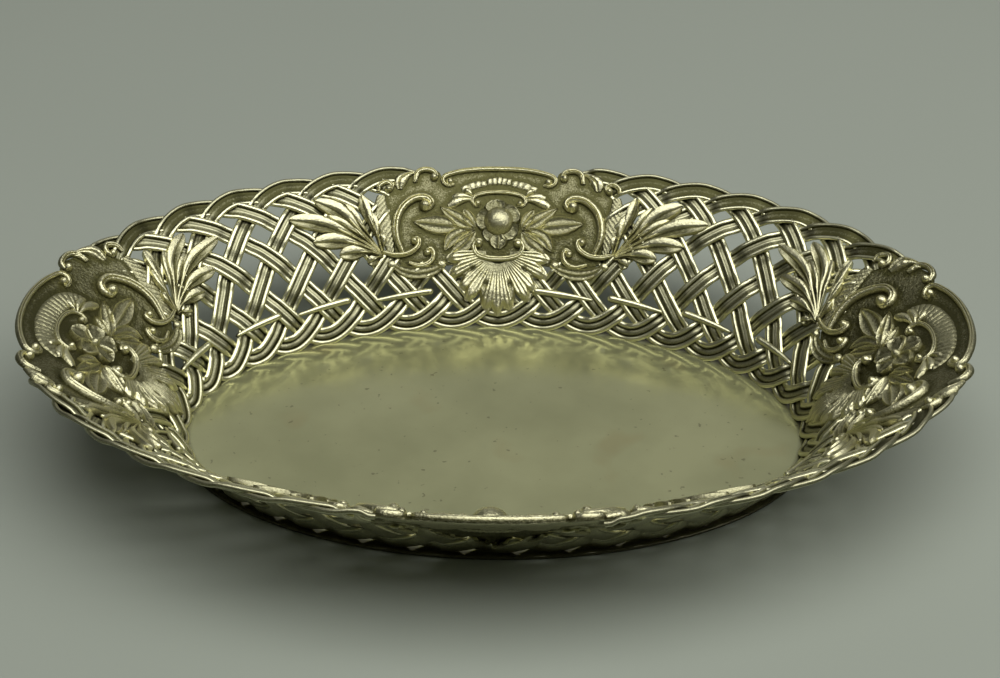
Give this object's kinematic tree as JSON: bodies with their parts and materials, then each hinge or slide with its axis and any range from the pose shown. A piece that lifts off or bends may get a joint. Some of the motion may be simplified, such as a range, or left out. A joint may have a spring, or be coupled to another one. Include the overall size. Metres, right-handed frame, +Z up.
{
  "type": "pierced silver basket",
  "caption": "Oval table basket: flat polished floor inside a flared wall of woven straps, with scrolled cartouches, fluted shells and leaf sprays.",
  "frame": {"origin": "centre of the underside of the floor plate, on the surface that the basket stands on", "axes": "+X along the length, +Y across the width away from the viewer of the picture, +Z up"},
  "size_m": [0.3208, 0.2172, 0.0511],
  "materials": {
    "polished_floor": "polished silver, softly worn, with fine scratches",
    "lattice_silver": "satin silver, bright on the edges and dark in the channels",
    "relief_silver": "chased silver, bright high points over dark patina"
  },
  "bodies": {
    "root": {"floor_plate": "polished_floor", "lattice_panel_back_right": "lattice_silver", "lattice_panel_front_right": "lattice_silver", "lattice_panel_front_left": "lattice_silver", "lattice_panel_back_left": "lattice_silver", "cartouche_back": "relief_silver", "shell_back": "relief_silver", "leaf_spray_back_a": "relief_silver", "leaf_spray_back_b": "relief_silver", "cartouche_right": "relief_silver", "shell_right": "relief_silver", "leaf_spray_right_a": "relief_silver", "leaf_spray_right_b": "relief_silver", "cartouche_front": "relief_silver", "shell_front": "relief_silver", "leaf_spray_front_a": "relief_silver", "leaf_spray_front_b": "relief_silver", "cartouche_left": "relief_silver", "shell_left": "relief_silver", "leaf_spray_left_a": "relief_silver", "leaf_spray_left_b": "relief_silver"}
  },
  "joints": []
}
